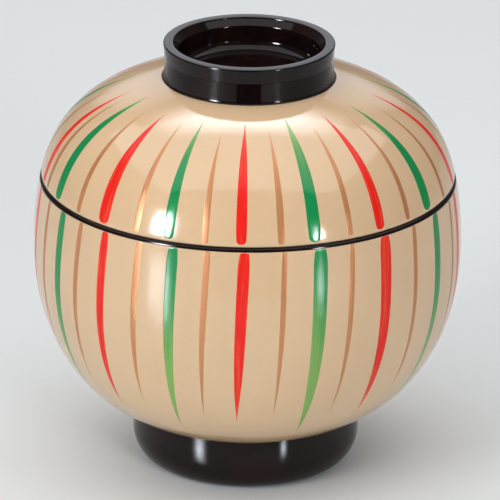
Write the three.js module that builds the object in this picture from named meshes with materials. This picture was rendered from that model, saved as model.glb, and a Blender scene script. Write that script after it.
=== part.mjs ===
// A ball-shaped soup bowl with its lid on: a round bowl on an attached foot ring, and a domed lid with an
// attached grip. The grip is hollow on top, so that the lid also stands upside down as a small dish.
// Millimetres, +Z up. The origin is on the table, on the axis that all four pieces are turned about.

import * as THREE from 'three';

// Bowl
const bowlRadius = 60.5; // outside, at the widest circle
const bellyRise = 47.8; // from the top of the foot to the widest circle
const bellyReach = 16.7; // how far the curve below the widest circle is drawn straight down
const heelReach = 23.0; // how far the curve is drawn along its slope at the foot
const heelSlope = 22.2; // of the bowl's side where it leaves the foot, in degrees
const lipPullIn = 1.7; // of the lip behind the widest circle
const lipRise = 20.9; // from the widest circle to the flat land that the lid rests on
const lipRound = 1.0; // outer edge of the lip
const mouthRound = 0.6; // inner edge of the lip
const bowlWall = 3.0;
const bowlFloor = 3.6; // thickness over the foot
const floorSweep = 6; // height over which the wall runs into the floor

// Foot ring
const footRadius = 32.3;
const footHeight = 15.9;
const footWall = 5.2; // at the top, against the bowl
const footRound = 6.5; // how far the outside curves in to the tread
const footRoundRise = 8.5; // height of that curve
const footTread = 2.8; // width of the flat that stands on the table
const footInnerRound = 0.8;
const footSetback = 0.5; // how far the bowl's flat seat reaches past the foot ring

// Lid
const lidHeight = 29.2; // from the lip's land to the flat seat of the grip
const lidWall = 3.0;
const lidSetback = 0.5; // of the lid's side behind the bowl's lip
const lidEdgeRound = 0.9; // lower outer edge
const lidEdgeLean = 14.5; // inward lean of the lid's side at its edge, in degrees
const lidEdgeReach = 13.0; // how far the curve is drawn along that lean
const crownSlope = 14.4; // of the lid where it meets the grip, in degrees
const crownReach = 24.6; // how far the curve is drawn along that slope
const spigotDepth = 2.2; // of the ring under the lid that keeps it centred in the mouth
const spigotWall = 1.6;
const spigotClearance = 0.4; // to the mouth, all round

// Grip
const gripRadius = 24.1; // outside, at its lip and at its base
const gripHeight = 10.2;
const gripBand = 4.2; // height of the band from the lip down
const gripBandIn = 0.2; // how far the band leans in, down to its lower edge
const gripStep = 0.25; // height of the step under the band
const gripWaistIn = 0.65; // how far the wall is drawn in below that step
const gripLip = 2.9; // width of the lip, outside to inside
const gripRound = 0.4; // both edges of the lip
const gripBevel = 1.5; // width of the slope that leads from the lip into the recess
const gripBevelDepth = 2.2;
const gripInnerLean = 4; // outward lean of the recess wall, in degrees
const gripFloor = 1.4;
const gripFillet = 3.0; // between the wall and the floor of the recess
const gripSetback = 0.5; // how far the lid's flat seat reaches past the grip

// Fineness of the turned surfaces
const turnSteps = 48;
const sweepSteps = 12; // along a long curve of a profile
const sideSteps = 6; // along a short one
const roundSteps = 4; // along a small rounding

// Heights and radii that follow from the sizes above
const bellyHeight = footHeight + bellyRise;
const lipHeight = bellyHeight + lipRise;
const lidSeatHeight = lipHeight + lidHeight;
const gripTop = lidSeatHeight + gripHeight;
const bowlSeatRadius = footRadius + footSetback;
const lipRadius = bowlRadius - lipPullIn;
const mouthRadius = lipRadius - bowlWall;
const lidEdgeRadius = lipRadius - lidSetback;
const lidSeatRadius = gripRadius + gripSetback;

const point = (radius, height) => new THREE.Vector2(radius, height);
const radians = THREE.MathUtils.degToRad;

// An arc of a circle, for the rounded edges.
function rounding(centreRadius, centreHeight, radius, from, to) {
  const curve = new THREE.EllipseCurve(centreRadius, centreHeight, radius, radius, from, to, to < from);
  return curve.getPoints(roundSteps);
}

// A point that lies a reach away from another, in a direction given by its angle above outward.
function along(start, reach, angle) {
  return point(start.x + reach * Math.cos(angle), start.y + reach * Math.sin(angle));
}

// The arc that leaves the widest circle straight up and reaches a smaller radius at the top.
function sideArc(widest, top) {
  const rise = top.y - widest.y;
  const aside = widest.x - top.x;
  const radius = (rise * rise + aside * aside) / (2 * aside);
  const curve = new THREE.EllipseCurve(
    widest.x - radius, widest.y, radius, radius, 0, Math.asin(rise / radius));
  return curve.getPoints(sideSteps);
}

// The other face of a wall: each point of a rising outside moved in by the wall's thickness.
function inset(outside, thickness) {
  return outside.map((here, index) => {
    const before = outside[Math.max(index - 1, 0)];
    const after = outside[Math.min(index + 1, outside.length - 1)];
    const heading = after.clone().sub(before).normalize();
    return point(here.x - thickness * heading.y, here.y + thickness * heading.x);
  });
}

// Turns a profile of (radius, height) points about the Z axis.
function turn(profile) {
  const geometry = new THREE.LatheGeometry(profile, turnSteps);
  return geometry.rotateX(Math.PI / 2);
}

function finish(color, roughness) {
  return new THREE.MeshStandardMaterial({ color, roughness, metalness: 0 });
}

const beigeLacquer = finish(0xdcb98e, 0.12);
const blackLacquer = finish(0x1a1515, 0.1);

function piece(name, profile, material) {
  const mesh = new THREE.Mesh(turn(profile), material);
  mesh.name = name;
  return mesh;
}

// The bowl: a round belly, cut flat below for the foot, whose side leans in a little to the lip.
function bowlProfile() {
  const heel = point(bowlSeatRadius, footHeight);
  const belly = point(bowlRadius, bellyHeight);
  const below = new THREE.CubicBezierCurve(
    heel, along(heel, heelReach, radians(heelSlope)), point(bowlRadius, bellyHeight - bellyReach), belly,
  ).getPoints(sweepSteps);
  const side = sideArc(belly, point(lipRadius, lipHeight - lipRound));
  const outside = [...below, ...side.slice(1)];
  const lip = rounding(lipRadius - lipRound, lipHeight - lipRound, lipRound, 0, Math.PI / 2);
  const mouth = rounding(mouthRadius + mouthRound, lipHeight - mouthRound, mouthRound, Math.PI / 2, Math.PI);

  const floorHeight = footHeight + bowlFloor;
  const inside = inset(outside, bowlWall).filter((p) => p.y > floorHeight + floorSweep).reverse();
  const [aboveSweep, sweepStart] = inside.slice(-2);
  const slope = (aboveSweep.x - sweepStart.x) / (aboveSweep.y - sweepStart.y);
  const corner = point(sweepStart.x - slope * (sweepStart.y - floorHeight), floorHeight);
  const sweepEnd = point(corner.x - corner.distanceTo(sweepStart), floorHeight);
  const sweep = new THREE.QuadraticBezierCurve(sweepStart, corner, sweepEnd).getPoints(roundSteps);

  return [
    point(0, footHeight), ...outside, ...lip.slice(1), ...mouth, ...inside, ...sweep.slice(1),
    point(0, floorHeight),
  ];
}

// The foot: a ring that is glued to the bowl's flat seat and curves in to a narrow tread on the table.
function footProfile() {
  const treadOuter = footRadius - footRound;
  const treadInner = treadOuter - footTread;
  const outerEdge = new THREE.EllipseCurve(
    treadOuter, footRoundRise, footRound, footRoundRise, -Math.PI / 2, 0,
  ).getPoints(sideSteps);
  const innerEdge = rounding(treadInner, footInnerRound, footInnerRound, Math.PI, Math.PI * 1.5);
  return [
    ...outerEdge, point(footRadius, footHeight), point(footRadius - footWall, footHeight), ...innerEdge,
    outerEdge[0],
  ];
}

// The lid: a dome that rises from a rounded edge on the bowl's lip to the flat seat of the grip.
function lidProfile() {
  const edgeTop = point(lidEdgeRadius, lipHeight + lidEdgeRound);
  const seatEdge = point(lidSeatRadius, lidSeatHeight);
  const outside = new THREE.CubicBezierCurve(
    edgeTop, along(edgeTop, lidEdgeReach, Math.PI / 2 + radians(lidEdgeLean)),
    along(seatEdge, crownReach, -radians(crownSlope)), seatEdge,
  ).getPoints(sweepSteps);
  const edge = rounding(lidEdgeRadius - lidEdgeRound, edgeTop.y, lidEdgeRound, -Math.PI / 2, 0);

  const spigotOuter = mouthRadius - spigotClearance;
  const spigotInner = spigotOuter - spigotWall;
  const spigotBottom = lipHeight - spigotDepth;
  const hollow = inset(outside, lidWall).filter((p) => p.x < spigotInner).reverse();

  return [
    point(0, hollow[0].y), ...hollow, point(spigotInner, spigotBottom), point(spigotOuter, spigotBottom),
    point(spigotOuter, lipHeight), ...edge, ...outside.slice(1), point(0, lidSeatHeight),
  ];
}

// The grip: a shallow cup, glued to the lid's flat seat. A band below the lip stands a little proud of
// the lower wall, which leans out to the base.
function gripProfile() {
  const base = point(gripRadius, lidSeatHeight);
  const bandFoot = point(gripRadius - gripBandIn, gripTop - gripBand);
  const waist = point(gripRadius - gripWaistIn, bandFoot.y - gripStep);
  const edgeHeight = gripTop - gripRound;
  const lip = rounding(gripRadius - gripRound, edgeHeight, gripRound, 0, Math.PI / 2);

  const mouth = gripRadius - gripLip;
  const innerLip = rounding(mouth + gripRound, edgeHeight, gripRound, Math.PI / 2, Math.PI);
  const inner = mouth - gripBevel;
  const bevelFoot = gripTop - gripBevelDepth;
  const floorHeight = lidSeatHeight + gripFloor;
  const lean = radians(gripInnerLean);
  const filletTop = floorHeight + gripFillet * (1 - Math.sin(lean));
  const wallFoot = inner - (bevelFoot - filletTop) * Math.tan(lean);
  const fillet = rounding(
    wallFoot - gripFillet * Math.cos(lean), floorHeight + gripFillet, gripFillet, -lean, -Math.PI / 2);

  return [
    point(0, lidSeatHeight), base, waist, bandFoot, ...lip, ...innerLip,
    point(inner, bevelFoot), ...fillet, point(0, floorHeight),
  ];
}

const soupBowl = new THREE.Group();
soupBowl.add(
  piece('bowl_body', bowlProfile(), beigeLacquer),
  piece('foot_ring', footProfile(), blackLacquer),
  piece('lid_dome', lidProfile(), beigeLacquer),
  piece('lid_grip', gripProfile(), blackLacquer),
);

export default soupBowl;
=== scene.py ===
"""A lidded soup bowl in glossy lacquer, striped with brush strokes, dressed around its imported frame.

Everything is in metres, with +Z up and the origin on the table, on the axis that every piece is turned
about. Azimuths are counted from the side that faces the camera, -Y, and grow towards the right, +X.
"""

import math
import random
from bisect import bisect_right
from dataclasses import dataclass

import bmesh
import bpy
from bpy.props import FloatProperty, FloatVectorProperty, IntProperty, PointerProperty
from bpy.types import Operator, Panel, PropertyGroup
from mathutils import Matrix, Vector
from mathutils.geometry import interpolate_bezier


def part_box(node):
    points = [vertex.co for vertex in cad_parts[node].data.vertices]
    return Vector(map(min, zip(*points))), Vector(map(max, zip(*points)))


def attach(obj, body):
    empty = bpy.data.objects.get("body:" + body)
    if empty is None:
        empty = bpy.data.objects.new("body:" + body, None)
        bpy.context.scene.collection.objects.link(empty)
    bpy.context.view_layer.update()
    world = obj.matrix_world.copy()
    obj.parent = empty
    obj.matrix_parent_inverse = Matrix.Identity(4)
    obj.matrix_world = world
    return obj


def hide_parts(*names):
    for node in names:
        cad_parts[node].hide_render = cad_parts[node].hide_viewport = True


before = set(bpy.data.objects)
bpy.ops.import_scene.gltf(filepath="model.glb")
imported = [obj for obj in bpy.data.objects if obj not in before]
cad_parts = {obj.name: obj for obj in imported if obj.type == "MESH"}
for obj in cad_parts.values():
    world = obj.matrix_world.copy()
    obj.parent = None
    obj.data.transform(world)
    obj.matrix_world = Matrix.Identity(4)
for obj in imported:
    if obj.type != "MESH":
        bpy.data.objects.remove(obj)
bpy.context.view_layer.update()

bl_info = {
    "name": "Lidded Soup Bowl",
    "version": (1, 0, 0),
    "blender": (4, 5, 0),
    "location": "3D View > Sidebar > Soup Bowl",
    "description": "Builds a striped lacquer soup bowl with a lift-off lid around its packed frame",
    "category": "Add Mesh",
}

MM = 0.001

BOWL_LOW, BOWL_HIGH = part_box("bowl_body")
_, FOOT_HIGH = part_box("foot_ring")
LID_LOW, LID_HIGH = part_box("lid_dome")
GRIP_LOW, GRIP_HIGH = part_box("lid_grip")

TURN_STEPS = 192  # faces round a turned piece
SWEEP_STEPS = 49  # points along a long curve of a profile
SIDE_STEPS = 16  # along a short one
ROUND_STEPS = 6  # along a small rounding
CREASE = math.radians(38)  # edges sharper than this stay sharp in the shading
WELD = 0.002 * MM  # points of a turned piece nearer than this are one

SWEEP_PULL = 2 / 3  # how far the sweep between the bowl's wall and floor is pulled into its corner
COVE_SPREAD = 0.6  # width of the grip's cove, as a share of its height
COVE_TOE_PULL = 0.75  # how far the cove's toe is pulled into its corner
COVE_WALL_PULL = 0.6  # how far its upper end is

QUARTER = math.pi / 2


def length(name, description, default):
    """A property that holds a length in metres."""
    return FloatProperty(name=name, description=description, default=default, precision=5, unit="LENGTH")


def slope(name, description, degrees):
    """A property that holds an angle."""
    return FloatProperty(name=name, description=description, default=math.radians(degrees), subtype="ANGLE")


def colour(name, description, default):
    """A property that holds a colour."""
    return FloatVectorProperty(
        name=name, description=description, default=default, min=0.0, max=1.0, subtype="COLOR")


def level(name, description, default):
    """A property that holds how bright a light looks, where 1 is white."""
    return FloatProperty(name=name, description=description, default=default, min=0.0)


class BowlSizes(PropertyGroup):
    """Sizes of the bowl itself."""
    radius: length("Radius", "Outside, at the widest circle", BOWL_HIGH.x)
    belly_height: length("Belly height", "From the table to the widest circle", 63.7 * MM)
    belly_reach: length("Belly reach", "How far the side is drawn straight down below it", 16.7 * MM)
    heel_reach: length("Heel reach", "How far the side is drawn along its slope at the foot", 23.0 * MM)
    heel_slope: slope("Heel slope", "Of the side where it leaves the foot", 22.2)
    seat_radius: length("Seat radius", "Of the flat that the foot is glued to", 32.8 * MM)
    seat_height: length("Seat height", "Of that flat above the table", BOWL_LOW.z)
    lip_radius: length("Lip radius", "Outside, just below the rounded lip", 58.8 * MM)
    lip_height: length("Lip height", "Of the land that the lid rests on", BOWL_HIGH.z)
    lip_round: length("Lip rounding", "Outer edge of the lip", 1.0 * MM)
    mouth_round: length("Mouth rounding", "Inner edge of the lip", 0.6 * MM)
    wall: length("Wall", "Thickness of the side", 3.0 * MM)
    floor: length("Floor", "Thickness over the foot", 3.6 * MM)
    floor_sweep: length("Floor sweep", "Height over which the wall runs into the floor", 6.0 * MM)


class FootSizes(PropertyGroup):
    """Sizes of the foot ring."""
    radius: length("Radius", "Outside", FOOT_HIGH.x)
    height: length("Height", "From the table to the bowl", FOOT_HIGH.z)
    wall: length("Wall", "Thickness at the top, against the bowl", 5.2 * MM)
    outer_round: length("Outer rounding", "How far the outside curves in to the tread", 6.5 * MM)
    outer_rise: length("Outer rise", "Height of that curve", 8.5 * MM)
    neck_in: length("Neck", "How far the wall above it curves in, up to the bowl", 0.65 * MM)
    tread: length("Tread", "Width of the flat that stands on the table", 2.8 * MM)
    inner_round: length("Inner rounding", "Between the tread and the hollow", 0.8 * MM)


class LidSizes(PropertyGroup):
    """Sizes of the domed lid."""
    edge_radius: length("Edge radius", "Outside, at the lower edge", LID_HIGH.x)
    edge_round: length("Edge rounding", "Lower outer edge", 0.9 * MM)
    edge_lean: slope("Edge lean", "Inward lean of the side at its edge", 14.5)
    edge_reach: length("Edge reach", "How far the dome is drawn along that lean", 13.0 * MM)
    seat_radius: length("Seat radius", "Of the flat that the grip is glued to", 24.6 * MM)
    seat_height: length("Seat height", "Of that flat above the table", LID_HIGH.z)
    crown_slope: slope("Crown slope", "Of the dome where it meets the grip", 14.4)
    crown_reach: length("Crown reach", "How far the dome is drawn along that slope", 24.6 * MM)
    wall: length("Wall", "Thickness of the dome", 3.0 * MM)
    spigot_outer: length("Spigot radius", "Outside of the ring that drops into the mouth", 55.4 * MM)
    spigot_wall: length("Spigot wall", "Thickness of that ring", 1.6 * MM)
    spigot_bottom: length("Spigot bottom", "Height of its lower edge above the table", LID_LOW.z)


class GripSizes(PropertyGroup):
    """Sizes of the hollow grip on the lid."""
    radius: length("Radius", "Outside, at the lip", GRIP_HIGH.x)
    base: length("Base", "Height of the base above the table", GRIP_LOW.z)
    top: length("Top", "Height of the lip above the table", GRIP_HIGH.z)
    band: length("Band", "Height of the band from the lip down", 4.2 * MM)
    band_in: length("Band lean", "How far the band leans in, down to its lower edge", 0.35 * MM)
    step: length("Step", "Height of the step under the band", 0.25 * MM)
    waist_in: length("Waist", "How far the wall is drawn in below that step", 0.7 * MM)
    cove: length("Cove", "Height of the small hollow rounding at the base", 1.0 * MM)
    lip: length("Lip", "Width of the lip, outside to inside", 2.9 * MM)
    edge_round: length("Edge rounding", "Both edges of the lip", 0.4 * MM)
    bevel: length("Bevel", "Width of the slope from the lip into the recess", 1.5 * MM)
    bevel_depth: length("Bevel depth", "Height of that slope", 2.2 * MM)
    inner_lean: slope("Inner lean", "Outward lean of the recess wall", 4)
    floor: length("Floor", "Thickness of the floor of the recess", 1.4 * MM)
    fillet: length("Fillet", "Between the wall and the floor of the recess", 3.0 * MM)


class StrokeSizes(PropertyGroup):
    """Sizes of the brush strokes."""
    count: IntProperty(
        name="Strokes", description="Strokes all round, on the bowl and on the lid", default=36)
    red_width: length("Red width", "Of a red stroke where it is widest", 3.2 * MM)
    green_width: length("Green width", "Of a green stroke where it is widest", 3.6 * MM)
    gold_width: length("Gold width", "Of a gold stroke where it is widest", 1.85 * MM)
    enamel_rise: length("Enamel rise", "How far a red or green stroke stands up", 0.06 * MM)
    gold_rise: length("Gold rise", "How far a gold stroke stands up", 0.04 * MM)
    bowl_start: length("Bowl start", "From the black lip line to the strokes on the bowl", 0.02 * MM)
    lid_start: length("Lid start", "From the lid's edge to the strokes on the lid", 0.05 * MM)
    bowl_red: length("Red on the bowl", "Length of a red stroke on the bowl", 57 * MM)
    bowl_green: length("Green on the bowl", "Length of a green stroke on the bowl", 62 * MM)
    bowl_gold: length("Gold on the bowl", "Length of a gold stroke on the bowl", 54 * MM)
    lid_red: length("Red on the lid", "Length of a red stroke on the lid", 39 * MM)
    lid_green: length("Green on the lid", "Length of a green stroke on the lid", 40 * MM)
    lid_gold: length("Gold on the lid", "Length of a gold stroke on the lid", 36 * MM)


class LacquerColours(PropertyGroup):
    """Colours of the lacquers, the paints and the table."""
    beige: colour("Beige", "Lacquer of the outside", (0.70, 0.49, 0.295))
    black: colour("Black", "Lacquer of the foot, grip, lip and inside", (0.005, 0.0024, 0.0027))
    brown: colour("Brown", "What the black leans to in its smears", (0.02, 0.007, 0.006))
    red: colour("Red", "Enamel of the red strokes", (0.80, 0.014, 0.010))
    orange: colour("Orange", "What the red leans to in its streaks", (0.85, 0.16, 0.035))
    green: colour("Green", "Enamel of the green strokes, where it lies thick", (0.003, 0.25, 0.066))
    green_thin: colour("Thin green", "The same where the beige shows through", (0.20, 0.40, 0.085))
    gold: colour("Gold", "Metal paint of the thin strokes", (0.54, 0.23, 0.09))
    table: colour("Table", "Satin sheet that the bowl stands on", (0.80, 0.845, 0.86))


class StageLevels(PropertyGroup):
    """Brightness of the lights, as they would look in a mirror."""
    key: level("Key", "Softbox at the front left", 5.3)
    fill: level("Fill", "Softbox at the front right", 13.0)
    overhead: level("Overhead", "Wide panel over the table", 1.3)
    room: level("Room", "The dim studio all round", 0.15)
    backdrop: level("Backdrop", "Pale wall behind the table, as the gloss shows it", 1.3)
    key_glow: level("Key glow", "Bright middle of the key, as the gloss shows it", 190.0)
    fill_glow: level("Fill glow", "Bright middle of the fill, as the gloss shows it", 140.0)
    back_glow: level("Back glow", "Lamp high behind the bowl, as the gloss shows it", 8.0)


class SoupBowlSettings(PropertyGroup):
    """All settings of the soup bowl."""
    bowl: PointerProperty(type=BowlSizes)
    foot: PointerProperty(type=FootSizes)
    lid: PointerProperty(type=LidSizes)
    grip: PointerProperty(type=GripSizes)
    strokes: PointerProperty(type=StrokeSizes)
    colours: PointerProperty(type=LacquerColours)
    levels: PointerProperty(type=StageLevels)


def at(radius, height):
    """A point of a profile, in the upright plane that is turned about the axis."""
    return Vector((radius, 0.0, height))


def towards(angle):
    """A direction in that plane; its angle is counted from outward to up."""
    return Vector((math.cos(angle), 0.0, math.sin(angle)))


def rounding(centre, radius, start, end, steps=ROUND_STEPS):
    """An arc about a centre, from one angle to another."""
    return [centre + radius * towards(start + (end - start) * step / steps) for step in range(steps + 1)]


def straight(start, end):
    """Points along a straight side, without its end."""
    return [start.lerp(end, step / SIDE_STEPS) for step in range(SIDE_STEPS)]


def arc_radius(rise, aside):
    """Radius of an arc that is upright at one end and goes aside by some way while it rises."""
    return (rise * rise + aside * aside) / (2 * aside)


def inset(outside, thickness):
    """The other face of a wall: each point of a rising outside, moved in by the wall's thickness."""
    last = len(outside) - 1
    inside = []
    for index, here in enumerate(outside):
        heading = (outside[min(index + 1, last)] - outside[max(index - 1, 0)]).normalized()
        inside.append(here + thickness * Vector((-heading.z, 0.0, heading.x)))
    return inside


def bowl_side(sizes):
    """Outside of the bowl, from the foot up to the start of the rounded lip."""
    heel = at(sizes.seat_radius, sizes.seat_height)
    belly = at(sizes.radius, sizes.belly_height)
    below = interpolate_bezier(
        heel, heel + sizes.heel_reach * towards(sizes.heel_slope),
        belly - at(0.0, sizes.belly_reach), belly, SWEEP_STEPS)
    rise = sizes.lip_height - sizes.lip_round - sizes.belly_height
    radius = arc_radius(rise, sizes.radius - sizes.lip_radius)
    above = rounding(belly - at(radius, 0.0), radius, 0.0, math.asin(rise / radius), SIDE_STEPS)
    return below + above[1:]


def lid_side(sizes, rest_height):
    """Outside of the lid, from the top of its rounded edge to the flat seat of the grip."""
    edge = at(sizes.edge_radius, rest_height + sizes.edge_round)
    seat = at(sizes.seat_radius, sizes.seat_height)
    return interpolate_bezier(
        edge, edge + sizes.edge_reach * towards(QUARTER + sizes.edge_lean),
        seat + sizes.crown_reach * towards(-sizes.crown_slope), seat, SWEEP_STEPS)


def turned(strips):
    """A bmesh turned from strips of a profile, each with the number of its finish."""
    bm = bmesh.new()
    for profile, finish in strips:
        earlier = set(bm.faces)
        chain = [bm.verts.new(point) for point in profile]
        rails = [bm.edges.new(pair) for pair in zip(chain, chain[1:])]
        bmesh.ops.spin(
            bm, geom=chain + rails, cent=(0, 0, 0), axis=(0, 0, 1), dvec=(0, 0, 0),
            angle=2 * math.pi, steps=TURN_STEPS, use_merge=True)
        for face in bm.faces:
            if face not in earlier:
                face.material_index = finish
    bmesh.ops.remove_doubles(bm, verts=bm.verts[:], dist=WELD)
    bmesh.ops.recalc_face_normals(bm, faces=bm.faces[:])
    return bm


def settle(bm, name, body, finishes, stands_for=None):
    """Makes a finished piece of a bmesh, which rides on a body and has the finishes given to it."""
    for face in bm.faces:
        face.smooth = True
    for edge in bm.edges:
        edge.smooth = edge.calc_face_angle(0.0) < CREASE
    mesh = bpy.data.meshes.new(name)
    bm.to_mesh(mesh)
    bm.free()
    for finish in finishes:
        mesh.materials.append(finish)
    piece = bpy.data.objects.new(name, mesh)
    bpy.context.scene.collection.objects.link(piece)
    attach(piece, body)
    if stands_for:
        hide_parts(stands_for)


def plug(tree, inlet, value):
    """Links a value to a socket, or writes a plain number or colour on it."""
    if isinstance(value, Value):
        tree.links.new(value.socket, inlet)
    else:
        inlet.default_value = value


class Value:
    """What a node gives out. Arithmetic on it adds Math nodes."""

    def __init__(self, tree, socket):
        self.tree = tree
        self.socket = socket

    def maths(self, operation, *operands):
        node = self.tree.nodes.new("ShaderNodeMath")
        node.operation = operation
        for inlet, operand in zip(node.inputs, operands):
            plug(self.tree, inlet, operand)
        return Value(self.tree, node.outputs[0])

    def __add__(self, other):
        return self.maths("ADD", self, other)

    def __radd__(self, other):
        return self.maths("ADD", other, self)

    def __sub__(self, other):
        return self.maths("SUBTRACT", self, other)

    def __rsub__(self, other):
        return self.maths("SUBTRACT", other, self)

    def __mul__(self, other):
        return self.maths("MULTIPLY", self, other)

    def __rmul__(self, other):
        return self.maths("MULTIPLY", other, self)


MIX_FACTOR, MIX_FIRST, MIX_SECOND, MIX_RESULT = 0, 6, 7, 2  # sockets of a Mix node that is set to colours
BLEND_FACTOR, BLEND_FIRST, BLEND_SECOND = 0, 1, 2  # sockets of a Mix Shader node
STREAK_SHIFT = 40.0  # how far apart in the noise the streaks of unlike strokes are taken


class Finish:
    """A material, with the few kinds of node that the finishes are made of."""

    def __init__(self, name):
        self.material = bpy.data.materials.new(name)
        self.material.use_nodes = True
        self.tree = self.material.node_tree
        self.shader = self.tree.nodes["Principled BSDF"]

    def node(self, kind, settings, sockets, output=0):
        """Adds a node, sets it up and fills its sockets, and gives one of its outputs."""
        node = self.tree.nodes.new(kind)
        for name, value in settings.items():
            setattr(node, name, value)
        for name, value in sockets.items():
            plug(self.tree, node.inputs[name], value)
        return Value(self.tree, node.outputs[output])

    def place(self):
        """Where a point lies on the piece."""
        return self.node("ShaderNodeTexCoord", {}, {}, "Object")

    def noise(self, place, size, detail=2.0, rough=0.5):
        """Soft random patches of about a given size, from 0 to 1."""
        sockets = {"Vector": place, "Scale": 1.0 / size, "Detail": detail, "Roughness": rough}
        return self.node("ShaderNodeTexNoise", {}, sockets, "Fac")

    def ease(self, value, low, high):
        """Runs smoothly from 0 at the low value to 1 at the high one."""
        sockets = {"Value": value, "From Min": low, "From Max": high}
        return self.node("ShaderNodeMapRange", {"interpolation_type": "SMOOTHSTEP"}, sockets)

    def mix(self, factor, first, second):
        """Goes from one colour to another."""
        sockets = {MIX_FACTOR: factor, MIX_FIRST: first, MIX_SECOND: second}
        return self.node("ShaderNodeMix", {"data_type": "RGBA"}, sockets, MIX_RESULT)

    def bump(self, height, depth):
        """Surface unevenness of a given depth."""
        sockets = {"Height": height, "Distance": depth, "Strength": 1.0}
        return self.node("ShaderNodeBump", {}, sockets, "Normal")

    def brush(self):
        """Where a point lies on its stroke: across it and along it, and the stroke's own tone."""
        mark = self.node("ShaderNodeAttribute", {"attribute_name": BRUSH_LAYER}, {}, "Vector")
        return [self.node("ShaderNodeSeparateXYZ", {}, {"Vector": mark}, axis) for axis in "XYZ"]

    def streaks(self, across, along, tone, fineness, stretch):
        """Random streaks that run along a stroke, different on each one."""
        sockets = {"X": across * fineness, "Y": along * stretch, "Z": tone * STREAK_SHIFT}
        place = self.node("ShaderNodeCombineXYZ", {}, sockets)
        return self.noise(place, 1.0, 3.0, 0.6)

    def blend_shader(self, factor, other):
        """Goes from the shader to another one."""
        own = Value(self.tree, self.shader.outputs["BSDF"])
        sockets = {BLEND_FACTOR: factor, BLEND_FIRST: own, BLEND_SECOND: other}
        blend = self.node("ShaderNodeMixShader", {}, sockets)
        plug(self.tree, self.tree.nodes["Material Output"].inputs["Surface"], blend)

    def surface(self, sockets):
        """Fills the shader's sockets and gives the finished material."""
        for name, value in sockets.items():
            plug(self.tree, self.shader.inputs[name], value)
        return self.material


def tint(base, brightness=1.0):
    """A colour as a shader socket takes it, and as light or dark as asked."""
    return tuple(min(part * brightness, 1.0) for part in base) + (1.0,)


def blended(first, second, share):
    """A colour part of the way from one to another."""
    return tuple(a + (b - a) * share for a, b in zip(first, second))


def beige_lacquer(lacquer, colours):
    """Thick beige lacquer: faintly clouded, with fine pigment grain and a polished, slightly wavy skin."""
    place = lacquer.place()
    cloud = lacquer.noise(place, 26 * MM, 3.0)
    grain = lacquer.noise(place, 0.7 * MM, 2.0, 0.7)
    wave = lacquer.noise(place, 7 * MM, 1.0)
    skin = lacquer.mix(lacquer.ease(cloud, 0.3, 0.7), tint(colours.beige, 0.975), tint(colours.beige, 1.02))
    speckled = lacquer.mix(lacquer.ease(grain, 0.52, 0.8) * 0.16, skin, tint(colours.beige, 0.72))
    return lacquer.surface({
        "Base Color": speckled,
        "Roughness": 0.07 + 0.06 * cloud,
        "Coat Weight": 0.3,
        "Coat Roughness": 0.03,
        "Normal": lacquer.bump(wave + 0.06 * grain, 0.02 * MM),
    })


def black_lacquer(lacquer, colours):
    """Brown-black lacquer, polished, with faint smears where hands have wiped it."""
    place = lacquer.place()
    smear = lacquer.noise(place, 9 * MM, 4.0, 0.6)
    wave = lacquer.noise(place, 6 * MM, 1.0)
    brown = blended(colours.black, colours.brown, 0.5)
    return lacquer.surface({
        "Base Color": lacquer.mix(lacquer.ease(smear, 0.35, 0.7), tint(colours.black), tint(brown)),
        "Roughness": 0.04 + 0.06 * smear,
        "IOR": 1.34,
        "Normal": lacquer.bump(wave, 0.008 * MM),
    })


def red_enamel(enamel, colours):
    """Opaque red enamel, a little orange in streaks and where the brush lifted off."""
    across, along, tone = enamel.brush()
    streak = enamel.streaks(across, along, tone, 1.6, 2.2)
    orange = blended(colours.red, colours.orange, 0.4)
    thin = enamel.ease(along, 0.8, 1.0)
    body = enamel.mix(enamel.ease(streak, 0.42, 0.75), tint(colours.red), tint(orange))
    lifted = blended(orange, colours.beige, 0.35)
    return enamel.surface({
        "Base Color": enamel.mix(thin * 0.7, body, tint(lifted)),
        "Roughness": 0.22 + 0.1 * streak,
        "IOR": 1.36,
        "Normal": enamel.bump(streak, 0.008 * MM),
    })


def green_enamel(enamel, colours):
    """Green enamel that lies thick near the lip and thins to streaks through which the beige shows."""
    across, along, tone = enamel.brush()
    streak = enamel.streaks(across, along, tone, 2.4, 1.4)
    thin = enamel.ease(along + 0.5 * streak + 0.3 * tone, 0.52, 1.12)
    return enamel.surface({
        "Base Color": enamel.mix(thin, tint(colours.green), tint(colours.green_thin)),
        "Roughness": 0.1 + 0.1 * streak,
        "Normal": enamel.bump(streak, 0.012 * MM),
    })


def gold_paint(paint, colours):
    """Gold paint, brushed on thin: metal flakes in streaks, with the lacquer just showing between them."""
    across, along, tone = paint.brush()
    streak = paint.streaks(across, along, tone, 1.8, 5.0)
    cover = 1.0 - 0.3 * paint.ease(streak + 0.25 * along, 0.5, 0.95)
    under = blended(colours.beige, colours.gold, 0.4)
    return paint.surface({
        "Base Color": paint.mix(cover, tint(under, 0.9), tint(colours.gold)),
        "Metallic": 0.3 * cover,
        "Roughness": 0.3 + 0.15 * streak,
        "Normal": paint.bump(streak, 0.012 * MM),
    })


def satin_sheet(sheet, colours):
    """The pale sheet on the table: plain to look at, and satin in what the bowl mirrors of it."""
    grain = sheet.noise(sheet.place(), 3 * MM, 3.0)
    pale = sheet.mix(grain, tint(colours.table, 0.985), tint(colours.table, 1.01))
    plain = sheet.node("ShaderNodeBsdfPrincipled", {}, {"Base Color": pale, "Specular IOR Level": 0.0})
    looked_at = sheet.node("ShaderNodeLightPath", {}, {}, "Is Camera Ray")
    sheet.blend_shader(looked_at, plain)
    return sheet.surface({
        "Base Color": sheet.mix(grain, tint(colours.table, 0.90), tint(colours.table, 0.925)),
        "Roughness": 0.18 + 0.04 * grain,
        "IOR": 1.4,
    })


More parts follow.
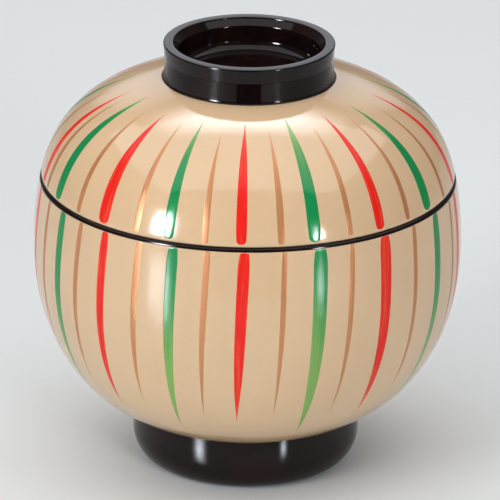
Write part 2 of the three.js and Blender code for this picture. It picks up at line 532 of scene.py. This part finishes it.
def dark_card(card, colours):
    """A dull black card."""
    grain = card.noise(card.place(), 5 * MM)
    return card.surface({"Base Color": tint(colours.black, 0.8), "Roughness": 0.8 + 0.1 * grain})


def glow_card(card, colours):
    """A card that shines as bright as its mesh says."""
    shine = card.node("ShaderNodeAttribute", {"attribute_name": GLOW_LAYER}, {}, "Color")
    return card.surface({
        "Base Color": tint(colours.black, 0.0), "Emission Color": shine, "Emission Strength": 1.0})


def finish_for(maker, colours):
    """The finish that a maker gives, made once and shared by the pieces that have it."""
    name = maker.__name__ + "_finish"
    return bpy.data.materials.get(name) or maker(Finish(name), colours)


BEIGE, BLACK = 0, 1  # numbers of the two finishes of the bowl, and of the lid


def two_finishes(colours):
    """The finishes of a piece that is beige outside and black inside."""
    return [finish_for(beige_lacquer, colours), finish_for(black_lacquer, colours)]


class SOUP_OT_bowl(Operator):
    """Turn the bowl: beige outside, black lip, inside and seat"""
    bl_idname = "soup.bowl"
    bl_label = "Turn the bowl"

    def execute(self, context):
        settings = context.scene.soup_bowl
        sizes = settings.bowl
        outside = bowl_side(sizes)
        lip = rounding(
            at(sizes.lip_radius - sizes.lip_round, sizes.lip_height - sizes.lip_round),
            sizes.lip_round, 0.0, QUARTER)
        mouth_radius = sizes.lip_radius - sizes.wall
        mouth = rounding(
            at(mouth_radius + sizes.mouth_round, sizes.lip_height - sizes.mouth_round),
            sizes.mouth_round, QUARTER, math.pi)

        floor_height = sizes.seat_height + sizes.floor
        inside = [p for p in inset(outside, sizes.wall) if p.z > floor_height + sizes.floor_sweep]
        inside.reverse()
        above, foot_of_wall = inside[-2:]
        fall = (foot_of_wall.z - floor_height) / (above.z - foot_of_wall.z)
        corner = foot_of_wall + fall * (foot_of_wall - above)
        floor_edge = corner - at((corner - foot_of_wall).length, 0.0)
        sweep = interpolate_bezier(
            foot_of_wall, foot_of_wall.lerp(corner, SWEEP_PULL),
            floor_edge.lerp(corner, SWEEP_PULL), floor_edge, SIDE_STEPS)

        lining = lip + mouth + inside + sweep[1:] + [at(0.0, floor_height)]
        seat = [at(0.0, sizes.seat_height), outside[0]]
        bm = turned([(outside, BEIGE), (lining, BLACK), (seat, BLACK)])
        settle(bm, "bowl_turned", "bowl", two_finishes(settings.colours), "bowl_body")
        return {"FINISHED"}


class SOUP_OT_foot(Operator):
    """Turn the foot ring in black lacquer"""
    bl_idname = "soup.foot"
    bl_label = "Turn the foot ring"

    def execute(self, context):
        settings = context.scene.soup_bowl
        sizes = settings.foot
        tread_outer = sizes.radius - sizes.outer_round
        tread_inner = tread_outer - sizes.tread
        quarter = rounding(at(0.0, 1.0), 1.0, -QUARTER, 0.0, SIDE_STEPS)
        outer_edge = [at(tread_outer + sizes.outer_round * p.x, sizes.outer_rise * p.z) for p in quarter]
        inner_edge = rounding(
            at(tread_inner, sizes.inner_round), sizes.inner_round, math.pi, 1.5 * math.pi)
        rise = sizes.height - sizes.outer_rise
        radius = arc_radius(rise, sizes.neck_in)
        neck = rounding(
            at(sizes.radius - radius, sizes.outer_rise), radius, 0.0, math.asin(rise / radius), SIDE_STEPS)
        inner_top = at(sizes.radius - sizes.wall, sizes.height)
        ring = outer_edge + neck[1:] + [inner_top] + inner_edge + outer_edge[:1]
        bm = turned([(ring, 0)])
        black = finish_for(black_lacquer, settings.colours)
        settle(bm, "foot_turned", "bowl", [black], "foot_ring")
        return {"FINISHED"}


class SOUP_OT_lid(Operator):
    """Turn the domed lid: beige outside, black inside, with a ring that drops into the mouth"""
    bl_idname = "soup.lid"
    bl_label = "Turn the lid"

    def execute(self, context):
        settings = context.scene.soup_bowl
        sizes = settings.lid
        rest_height = settings.bowl.lip_height
        side = lid_side(sizes, rest_height)
        edge = rounding(
            at(sizes.edge_radius - sizes.edge_round, rest_height + sizes.edge_round),
            sizes.edge_round, -QUARTER, 0.0)
        outside = edge + side[1:] + [at(0.0, sizes.seat_height)]

        spigot_inner = sizes.spigot_outer - sizes.spigot_wall
        hollow = [p for p in inset(side, sizes.wall) if p.x < spigot_inner]
        hollow.reverse()
        spigot = [
            at(spigot_inner, sizes.spigot_bottom), at(sizes.spigot_outer, sizes.spigot_bottom),
            at(sizes.spigot_outer, rest_height),
        ]
        underside = [at(0.0, hollow[0].z)] + hollow + spigot + edge[:1]
        bm = turned([(outside, BEIGE), (underside, BLACK)])
        settle(bm, "lid_turned", "lid", two_finishes(settings.colours), "lid_dome")
        return {"FINISHED"}


class SOUP_OT_grip(Operator):
    """Turn the hollow grip in black lacquer"""
    bl_idname = "soup.grip"
    bl_label = "Turn the grip"

    def execute(self, context):
        settings = context.scene.soup_bowl
        sizes = settings.grip
        band_foot = at(sizes.radius - sizes.band_in, sizes.top - sizes.band)
        waist = at(sizes.radius - sizes.waist_in, band_foot.z - sizes.step)
        lean = sizes.waist_in / (waist.z - sizes.base)
        cove_top = waist + at(lean, -1.0) * (waist.z - sizes.base - sizes.cove)
        corner = at(cove_top.x, sizes.base)
        toe = corner + at(COVE_SPREAD * sizes.cove, 0.0)
        cove = interpolate_bezier(
            toe, toe.lerp(corner, COVE_TOE_PULL),
            cove_top.lerp(corner, COVE_WALL_PULL), cove_top, ROUND_STEPS)

        edge_height = sizes.top - sizes.edge_round
        mouth = sizes.radius - sizes.lip
        lip = rounding(at(sizes.radius - sizes.edge_round, edge_height), sizes.edge_round, 0.0, QUARTER)
        inner_lip = rounding(at(mouth + sizes.edge_round, edge_height), sizes.edge_round, QUARTER, math.pi)
        outer_wall = cove[:-1] + straight(cove_top, waist) + [waist] + straight(band_foot, lip[0]) + lip

        bevel_foot = at(mouth - sizes.bevel, sizes.top - sizes.bevel_depth)
        floor_height = sizes.base + sizes.floor
        fillet_top = floor_height + sizes.fillet * (1.0 - math.sin(sizes.inner_lean))
        wall_foot = bevel_foot.x - (bevel_foot.z - fillet_top) * math.tan(sizes.inner_lean)
        fillet_out = wall_foot - sizes.fillet * math.cos(sizes.inner_lean)
        fillet_centre = at(fillet_out, floor_height + sizes.fillet)
        fillet = rounding(fillet_centre, sizes.fillet, -sizes.inner_lean, -QUARTER, SIDE_STEPS)
        recess = straight(inner_lip[-1], bevel_foot) + straight(bevel_foot, fillet[0]) + fillet
        profile = [at(0.0, sizes.base)] + outer_wall + inner_lip[:-1] + recess + [at(0.0, floor_height)]
        bm = turned([(profile, 0)])
        black = finish_for(black_lacquer, settings.colours)
        settle(bm, "grip_turned", "lid", [black], "lid_grip")
        return {"FINISHED"}


BRUSH_LAYER = "brush"
PATTERN = ("red", "gold", "green", "gold")
STROKE_RIM = 16  # points round a stroke's section
STROKE_RUN = 48  # sections along it
BED = 0.004 * MM  # how far the rim of a stroke lies under the lacquer's skin
KEEL = 0.10 * MM  # how far its middle lies under the rim
BEAD_RUN = 2.2 * MM  # length of the thicker end where the enamel has run together
SWELL_RUN = 5 * MM  # length over which a stroke swells to its full width
POINT_POWER = 1.25  # how fast a stroke runs out to its point
THIN_RISE = 0.3  # rise of the paint where a stroke is narrowest, as a share of its full rise
LEAST_RIM = 1e-6  # stands in for the rim of a sphere at its poles

# How far each stroke of the front, from left to right, lies from its even place, in degrees.
BOWL_STRAY = (0.5, -0.2, -1.2, -1.5, -0.2, -0.1, -0.6, -0.7, 0.1, 0.0, -0.8, 0.0, 1.3, 2.2, 3.0)
LID_STRAY = (-4.3, -5.4, -3.6, -3.1, -1.8, -1.8, -1.4, -1.6, -0.7, -1.4, -0.9, -1.0, -0.4, -0.8, -0.2)
# Widths of the red and green strokes of the front, from left to right, as a share of the usual width.
BOWL_BOLD = (0.92, 0.88, 0.92, 1.03, 1.15, 1.18, 0.95)
LID_BOLD = (1.08, 1.25, 0.88, 0.95, 1.02, 0.98, 1.1)

# Between which values the strokes differ by chance.
CHANCE_STRAY = (-1.2, 1.2)  # degrees, strokes of the back only
CHANCE_BOLD = (0.9, 1.12)  # of the width; on the front, of the gold strokes only
CHANCE_LEAN = (-0.4, 0.4)  # degrees
CHANCE_START = (0.0, 0.12 * MM)
CHANCE_RUN = (0.96, 1.03)  # of the length
CHANCE_TAPER = (0.85, 1.2)  # of the taper


class Wall:
    """The outside of a turned piece, measured along its profile from the lip."""

    def __init__(self, profile):
        self.points = profile
        self.marks = [0.0]
        for start, end in zip(profile, profile[1:]):
            self.marks.append(self.marks[-1] + (end - start).length)

    def spot(self, way):
        """The point of the profile some way along from the lip, and the direction straight out of it."""
        index = min(bisect_right(self.marks, way), len(self.points) - 1)
        start, end = self.points[index - 1], self.points[index]
        share = (way - self.marks[index - 1]) / (self.marks[index] - self.marks[index - 1])
        heading = (end - start).normalized()
        outward = Vector((heading.z, 0.0, -heading.x))
        if outward.x < 0:
            outward.negate()
        return start.lerp(end, share), outward


@dataclass
class Stroke:
    """One brush stroke: where it lies and how wide, long and thick it is."""
    turn: float  # azimuth of the end at the lip
    lean: float  # how far it turns on its way to the point
    start: float  # way from the lip to that end
    run: float
    width: float
    rise: float
    blunt: float  # length of the rounded end, as a share of the width
    shoulder: float  # width near that end, as a share of the full width
    taper: float  # how late it narrows
    bead: float  # how much thicker it is at the end, as a share of the rise
    tone: float  # how thin the paint lies, different on each stroke

    def half_width(self, along):
        """Half the width at a share of the length: blunt at the lip, drawn to a point at the far end."""
        way = along * self.run
        end = min(way / (self.blunt * self.width), 1.0)
        swell = self.shoulder + (1.0 - self.shoulder) * math.sin(QUARTER * min(way / SWELL_RUN, 1.0))
        point = (1.0 - along ** self.taper) ** POINT_POWER
        return self.width / 2 * math.sqrt(1.0 - (1.0 - end) ** 2) * swell * point

    def lay(self, bm, layer, wall):
        """Shapes a sphere into the stroke, on the wall of a piece."""
        ball = bmesh.ops.create_uvsphere(bm, u_segments=STROKE_RIM, v_segments=STROKE_RUN, radius=1.0)
        for vert in ball["verts"]:
            along = (1.0 - vert.co.z) / 2
            rim = max(math.hypot(vert.co.x, vert.co.y), LEAST_RIM)
            across, lift = vert.co.x / rim, vert.co.y / rim
            half = self.half_width(along)
            fullness = THIN_RISE + (1.0 - THIN_RISE) * half / (self.width / 2)
            fullness += self.bead * math.exp(-(along * self.run / BEAD_RUN) ** 2)
            height = lift * (self.rise * fullness if lift > 0 else KEEL)
            point, outward = wall.spot(self.start + along * self.run)
            place = point + outward * (height - BED)
            angle = self.turn + self.lean * along + across * half / point.x
            vert.co = Vector((place.x * math.sin(angle), -place.x * math.cos(angle), place.z))
            vert[layer] = Vector((across, along, self.tone))


@dataclass
class Row:
    """The strokes round one body, with the values of a Stroke that they share or vary about."""
    body: str
    wall: Wall
    start: float
    runs: dict  # length by the name of the colour
    stray: tuple  # of the front's strokes, in degrees
    bold: tuple  # widths of the front's red and green strokes, as shares
    lean: float  # degrees
    blunt: float
    shoulder: float
    taper: float
    bead: float
    tone: float


class SOUP_OT_strokes(Operator):
    """Paint the red, gold and green strokes on the bowl and on the lid"""
    bl_idname = "soup.strokes"
    bl_label = "Paint the strokes"

    def execute(self, context):
        settings = context.scene.soup_bowl
        sizes = settings.strokes
        self.paint(settings, Row(
            body="bowl",
            wall=Wall(bowl_side(settings.bowl)[::-1]),
            start=sizes.bowl_start,
            runs={"red": sizes.bowl_red, "green": sizes.bowl_green, "gold": sizes.bowl_gold},
            stray=BOWL_STRAY, bold=BOWL_BOLD, lean=-2.1,
            blunt=0.1, shoulder=0.76, taper=3.0, bead=0.0, tone=0.0))
        self.paint(settings, Row(
            body="lid",
            wall=Wall(lid_side(settings.lid, settings.bowl.lip_height)),
            start=sizes.lid_start,
            runs={"red": sizes.lid_red, "green": sizes.lid_green, "gold": sizes.lid_gold},
            stray=LID_STRAY, bold=LID_BOLD, lean=0.2,
            blunt=0.35, shoulder=0.86, taper=2.6, bead=0.9, tone=-1.1))
        return {"FINISHED"}

    def paint(self, settings, row):
        """Paints all strokes of one body, each colour as one piece."""
        sizes = settings.strokes
        widths = {"red": sizes.red_width, "green": sizes.green_width, "gold": sizes.gold_width}
        rises = {"red": sizes.enamel_rise, "green": sizes.enamel_rise, "gold": sizes.gold_rise}
        makers = {"red": red_enamel, "green": green_enamel, "gold": gold_paint}
        meshes = {name: bmesh.new() for name in makers}
        layers = {name: bm.verts.layers.float_vector.new(BRUSH_LAYER) for name, bm in meshes.items()}
        chance = random.Random(row.body)
        reach = len(row.stray) // 2
        step = 360 / sizes.count
        for number in range(-reach, sizes.count - reach):
            name = PATTERN[number % len(PATTERN)]
            off = chance.uniform(*CHANCE_STRAY)
            share = chance.uniform(*CHANCE_BOLD)
            if number <= reach:
                off = row.stray[number + reach]
                if number % 2 == 0:
                    share = row.bold[(number + reach) // 2]
            stroke = Stroke(
                turn=math.radians(number * step + off),
                lean=math.radians(row.lean + chance.uniform(*CHANCE_LEAN)),
                start=row.start + chance.uniform(*CHANCE_START),
                run=row.runs[name] * chance.uniform(*CHANCE_RUN),
                width=widths[name] * share,
                rise=rises[name],
                blunt=row.blunt,
                shoulder=row.shoulder,
                taper=row.taper * chance.uniform(*CHANCE_TAPER),
                bead=row.bead if name == "green" else 0.0,
                tone=row.tone + chance.random(),
            )
            stroke.lay(meshes[name], layers[name], row.wall)
        for name, bm in meshes.items():
            bmesh.ops.recalc_face_normals(bm, faces=bm.faces[:])
            maker = makers[name]
            finish = finish_for(maker, settings.colours)
            settle(bm, f"{row.body}_{name}_strokes", row.body, [finish])


PHOTO_SIDE = 500  # pixels
FOCAL_PIXELS = 5656  # focal length, in pixels of that picture
SENSOR = 36.0  # width in millimetres, as Blender takes it
CAMERA_PLACE = (0.77 * MM, -1494.0 * MM, 646.5 * MM)
CAMERA_PITCH = 21.387  # degrees below level
CAMERA_ROLL = 0.579  # degrees, anticlockwise
AIM = Vector((0.0, 0.0, 85 * MM))  # the lights face the lid's edge
GLOW_LAYER = "glow"
GLOW_TINT = Vector((0.93, 0.97, 1.05))  # the lamps look a little blue in the gloss
ROOM_TINT = (1.0, 0.88, 0.87, 1.0)  # and the dim studio a little red
CARD_STEPS = 24  # squares along each side of a flat piece of the stage
TABLE_SIZE = (4.4, 4.4)
DARK_CARD_SIZE = (0.18, 0.46)
DARK_CARD_PLACE = (0.0, -0.32, 0.23)


@dataclass
class Lamp:
    """Where a flat lamp stands, or the card that shows it in the gloss, and how large it is."""
    azimuth: float  # degrees, as the elevation is
    elevation: float
    distance: float  # from the point that it faces
    size: tuple  # width and height
    back: float = 0.0  # how far it is then moved back, away from the camera
    fade: float = 0.0  # how fast a card dims from its middle to its edges

    def place(self):
        """Its place, with its front to the bowl."""
        turn, rise = math.radians(self.azimuth), math.radians(self.elevation)
        out = Vector((math.cos(rise) * math.sin(turn), -math.cos(rise) * math.cos(turn), math.sin(rise)))
        middle = AIM + self.distance * out + Vector((0.0, self.back, 0.0))
        return Matrix.Translation(middle) @ out.to_track_quat("Z", "Y").to_matrix().to_4x4()


KEY = Lamp(azimuth=-48, elevation=22, distance=1.3, size=(0.55, 0.80))
FILL = Lamp(azimuth=26, elevation=16, distance=1.3, size=(0.30, 0.40))
OVERHEAD = Lamp(azimuth=0, elevation=90, distance=1.5, size=(3.0, 2.4), back=0.23)
KEY_GLOW = Lamp(azimuth=-46, elevation=12.5, distance=1.45, size=(0.54, 0.84), fade=6.0)
FILL_GLOW = Lamp(azimuth=38, elevation=8, distance=1.45, size=(0.32, 0.50), fade=7.0)
BACK_GLOW = Lamp(azimuth=180, elevation=56, distance=1.9, size=(1.8, 0.90), fade=2.0)
BACKDROP = Lamp(azimuth=180, elevation=24, distance=1.75, size=(1.6, 1.0), fade=0.5)


def softbox(name, lamp, brightness):
    """A flat lamp that looks as bright as given."""
    width, height = lamp.size
    light = bpy.data.lights.new(name, "AREA")
    light.shape = "RECTANGLE"
    light.size = width
    light.size_y = height
    light.energy = math.pi * brightness * width * height
    holder = bpy.data.objects.new(name, light)
    holder.matrix_world = lamp.place()
    bpy.context.scene.collection.objects.link(holder)
    return holder


def flat_grid():
    """A bmesh of a flat grid that runs from -1 to 1 both ways."""
    bm = bmesh.new()
    bmesh.ops.create_grid(bm, x_segments=CARD_STEPS, y_segments=CARD_STEPS, size=1.0)
    return bm


def stand(bm, name, size, place, finish):
    """Makes a piece of the stage of a flat grid, which gets its width and height and goes to its place."""
    width, height = size
    bmesh.ops.scale(bm, vec=(width / 2, height / 2, 1.0), verts=bm.verts[:])
    bmesh.ops.transform(bm, matrix=place, verts=bm.verts[:])
    mesh = bpy.data.meshes.new(name)
    bm.to_mesh(mesh)
    bm.free()
    mesh.materials.append(finish)
    piece = bpy.data.objects.new(name, mesh)
    bpy.context.scene.collection.objects.link(piece)
    return piece


def hide_from_all_but_gloss(card):
    """Leaves a card of the stage only in what glossy surfaces mirror."""
    card.visible_camera = False
    card.visible_diffuse = False
    card.visible_shadow = False


def glow(name, lamp, brightness, finish):
    """What the gloss shows of a lamp: a card that is brightest in the middle and fades to its edges."""
    bm = flat_grid()
    layer = bm.verts.layers.float_vector.new(GLOW_LAYER)
    for vert in bm.verts:
        share = ((1.0 - vert.co.x ** 2) * (1.0 - vert.co.y ** 2)) ** lamp.fade
        vert[layer] = GLOW_TINT * (brightness * share)
    hide_from_all_but_gloss(stand(bm, name, lamp.size, lamp.place(), finish))


class SOUP_OT_stage(Operator):
    """Set the table, the lights and the camera"""
    bl_idname = "soup.stage"
    bl_label = "Set the stage"

    def execute(self, context):
        scene = context.scene
        settings = scene.soup_bowl
        satin = finish_for(satin_sheet, settings.colours)
        stand(flat_grid(), "table", TABLE_SIZE, Matrix.Identity(4), satin)
        self.set_lights(settings)
        self.set_room(scene, settings.levels.room)
        self.set_camera(scene)
        return {"FINISHED"}

    def set_lights(self, settings):
        """Sets up the lamps, and the cards that only the gloss shows."""
        levels = settings.levels
        # The gloss shows the glow cards in place of the key and the fill.
        key = softbox("key_softbox", KEY, levels.key)
        fill = softbox("fill_softbox", FILL, levels.fill)
        for holder in (key, fill):
            holder.visible_glossy = False
        softbox("overhead_panel", OVERHEAD, levels.overhead)
        shine = finish_for(glow_card, settings.colours)
        glow("key_glow", KEY_GLOW, levels.key_glow, shine)
        glow("fill_glow", FILL_GLOW, levels.fill_glow, shine)
        glow("back_glow", BACK_GLOW, levels.back_glow, shine)
        glow("backdrop", BACKDROP, levels.backdrop, shine)

        upright = Matrix.Translation(DARK_CARD_PLACE) @ Matrix.Rotation(QUARTER, 4, "X")
        dull = finish_for(dark_card, settings.colours)
        hide_from_all_but_gloss(stand(flat_grid(), "dark_card", DARK_CARD_SIZE, upright, dull))

    def set_room(self, scene, brightness):
        """Puts the dim studio all round."""
        world = bpy.data.worlds.new("studio")
        world.use_nodes = True
        room = world.node_tree.nodes["Background"]
        room.inputs["Color"].default_value = ROOM_TINT
        room.inputs["Strength"].default_value = brightness
        scene.world = world

    def set_camera(self, scene):
        """Sets up the camera at the photograph's view."""
        view = bpy.data.cameras.new("photo_view")
        view.sensor_width = SENSOR
        view.lens = FOCAL_PIXELS / PHOTO_SIDE * SENSOR
        camera = bpy.data.objects.new("photo_view", view)
        tilt = Matrix.Rotation(QUARTER - math.radians(CAMERA_PITCH), 4, "X")
        roll = Matrix.Rotation(math.radians(CAMERA_ROLL), 4, "Z")
        camera.matrix_world = Matrix.Translation(CAMERA_PLACE) @ tilt @ roll
        scene.collection.objects.link(camera)
        scene.camera = camera
        scene.view_settings.view_transform = "Standard"


class SOUP_PT_panel(Panel):
    """Buttons that build the soup bowl, one for each piece"""
    bl_idname = "SOUP_PT_panel"
    bl_label = "Soup Bowl"
    bl_space_type = "VIEW_3D"
    bl_region_type = "UI"
    bl_category = "Soup Bowl"

    def draw(self, context):
        for operator in BUILD_ORDER:
            self.layout.operator(operator.bl_idname)


GROUPS = (
    BowlSizes, FootSizes, LidSizes, GripSizes, StrokeSizes, LacquerColours, StageLevels, SoupBowlSettings)
BUILD_ORDER = (SOUP_OT_bowl, SOUP_OT_foot, SOUP_OT_lid, SOUP_OT_grip, SOUP_OT_strokes, SOUP_OT_stage)


def register():
    for cls in GROUPS + BUILD_ORDER + (SOUP_PT_panel,):
        bpy.utils.register_class(cls)
    bpy.types.Scene.soup_bowl = PointerProperty(type=SoupBowlSettings)


def unregister():
    del bpy.types.Scene.soup_bowl
    for cls in reversed(GROUPS + BUILD_ORDER + (SOUP_PT_panel,)):
        bpy.utils.unregister_class(cls)


def main():
    register()
    bpy.ops.soup.bowl()
    bpy.ops.soup.foot()
    bpy.ops.soup.lid()
    bpy.ops.soup.grip()
    bpy.ops.soup.strokes()
    bpy.ops.soup.stage()


if __name__ == "__main__":
    main()
